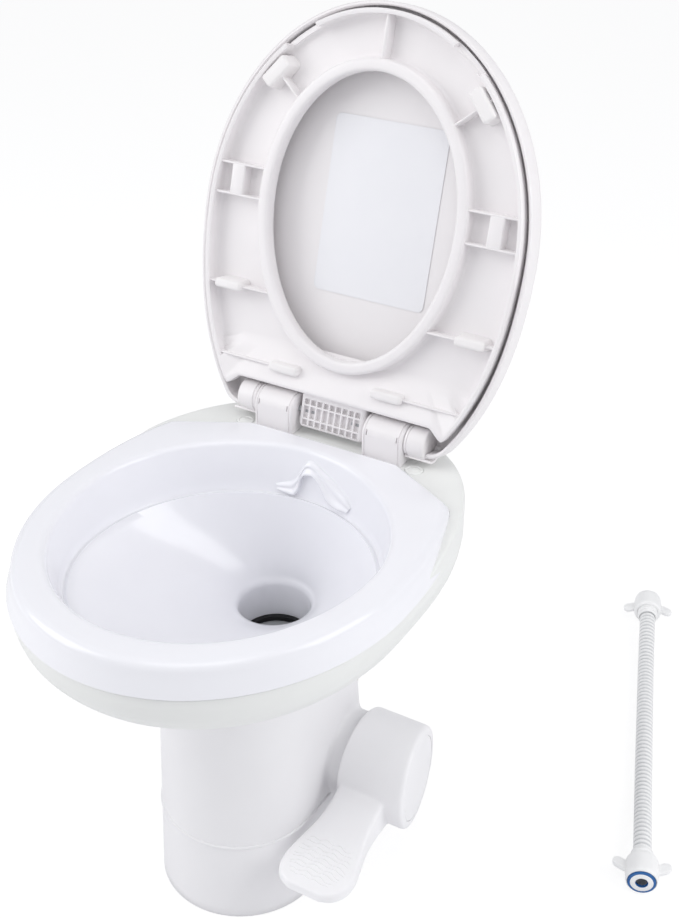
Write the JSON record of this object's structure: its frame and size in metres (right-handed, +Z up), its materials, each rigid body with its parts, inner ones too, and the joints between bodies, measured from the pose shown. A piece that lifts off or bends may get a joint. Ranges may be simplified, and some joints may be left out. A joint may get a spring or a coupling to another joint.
{
  "type": "caravan toilet",
  "caption": "Low pedal-flush toilet for caravans: oval bowl on a tapered pedestal, raised seat and lid, side foot pedal that turns a domed waste valve, and a loose ribbed water hose.",
  "frame": {"origin": "on the floor under the middle of the toilet's own box, without the loose hose", "axes": "+Z up, +X to the pedal's side, -Y towards the front of the bowl, where a seated person faces"},
  "size_m": [0.5866, 0.8388, 0.8196],
  "materials": {
    "bowl_white": "glossy white, like glazed china",
    "shell_white": "satin white",
    "pedestal_white": "soft gloss white",
    "seat_white": "satin moulded white",
    "pad_white": "soft white pads",
    "pedal_white": "soft gloss white",
    "label_white": "smooth blank label",
    "blade_grey": "smooth grey, wet",
    "works_black": "moulded black",
    "nylon": "natural nylon",
    "rubber_black": "soft black",
    "steel": "plain stainless",
    "hose_white": "moulded white",
    "rubber_blue": "soft dark blue"
  },
  "bodies": {
    "toilet": {"bowl": "bowl_white", "flush_nozzle": "bowl_white", "deck_plug_left": "bowl_white", "deck_plug_right": "bowl_white", "body_shell": "shell_white", "pedestal": "pedestal_white", "base": "pedestal_white", "hinge_post_left": "seat_white", "hinge_post_right": "seat_white", "valve_housing": "works_black", "throat_clamp": "works_black", "water_valve_body": "works_black", "vacuum_breaker": "works_black", "housing_bush": "nylon", "boss_bush": "nylon", "inlet_fitting": "nylon", "nozzle_tube": "nylon", "flush_tube": "nylon", "hinge_nut_left": "nylon", "hinge_nut_right": "nylon", "floor_seal": "rubber_black", "throat_seal": "rubber_black", "closet_bolt_left": "steel", "closet_bolt_right": "steel", "closet_nut_left": "steel", "closet_nut_right": "steel", "hinge_pin_left": "steel", "hinge_pin_right": "steel", "valve_pivot_pin": "steel", "return_spring": "steel", "pedestal_screw_left": "steel", "pedestal_screw_right": "steel", "pedal_pivot_bolt": "steel", "pedal_pivot_nut": "steel", "supply_hose": "hose_white", "hose_nut_near": "hose_white", "hose_nut_far": "hose_white", "hose_tail_near": "hose_white", "hose_tail_far": "hose_white", "hose_washer_near": "rubber_blue", "hose_washer_far": "rubber_blue"},
    "seat": {"seat": "seat_white", "seat_bumper_front_left": "pad_white", "seat_bumper_front_right": "pad_white", "seat_bumper_side_left": "pad_white", "seat_bumper_side_right": "pad_white", "seat_bumper_rear_left": "pad_white", "seat_bumper_rear_right": "pad_white"},
    "lid": {"lid": "seat_white", "lid_label": "label_white"},
    "pedal": {"pedal": "pedal_white", "pedal_cover": "pedal_white", "pedal_ring_gear": "nylon"},
    "valve": {"valve_blade": "blade_grey", "valve_drive_shaft": "steel", "valve_pinion": "nylon", "valve_cam": "nylon"},
    "plunger": {"water_valve_plunger": "nylon"}
  },
  "joints": [
    {"name": "lid_hinge", "type": "hinge", "parent": "toilet", "child": "lid", "pos_m": [0, 0.1378, 0.4362], "axis": [1, 0, 0], "range_deg": [0, 106.2]},
    {"name": "seat_hinge", "type": "hinge", "parent": "toilet", "child": "seat", "pos_m": [0, 0.1378, 0.4362], "axis": [1, 0, 0], "range_deg": [0, 106.2]},
    {"name": "pedal_hinge", "type": "hinge", "parent": "toilet", "child": "pedal", "pos_m": [0.12, 0.0302, 0.1186], "axis": [1, 0, 0], "range_deg": [0, 22], "stiffness_Nm_per_rad": 3, "springref_deg": -20.05},
    {"name": "valve_turn", "type": "hinge", "parent": "toilet", "child": "valve", "pos_m": [0, 0.0203, 0.1354], "axis": [1, 0, 0], "range_deg": [0, 54]},
    {"name": "plunger_slide", "type": "slide", "parent": "toilet", "child": "plunger", "axis": [0, 1, 0], "range_m": [0, 0.0031]}
  ],
  "couplings": [
    {"joint": "seat_hinge", "follows": "lid_hinge", "ratio": 1},
    {"joint": "valve_turn", "follows": "pedal_hinge", "ratio": 2.4444},
    {"joint": "plunger_slide", "follows": "pedal_hinge", "m_per_rad": 0.00782}
  ]
}
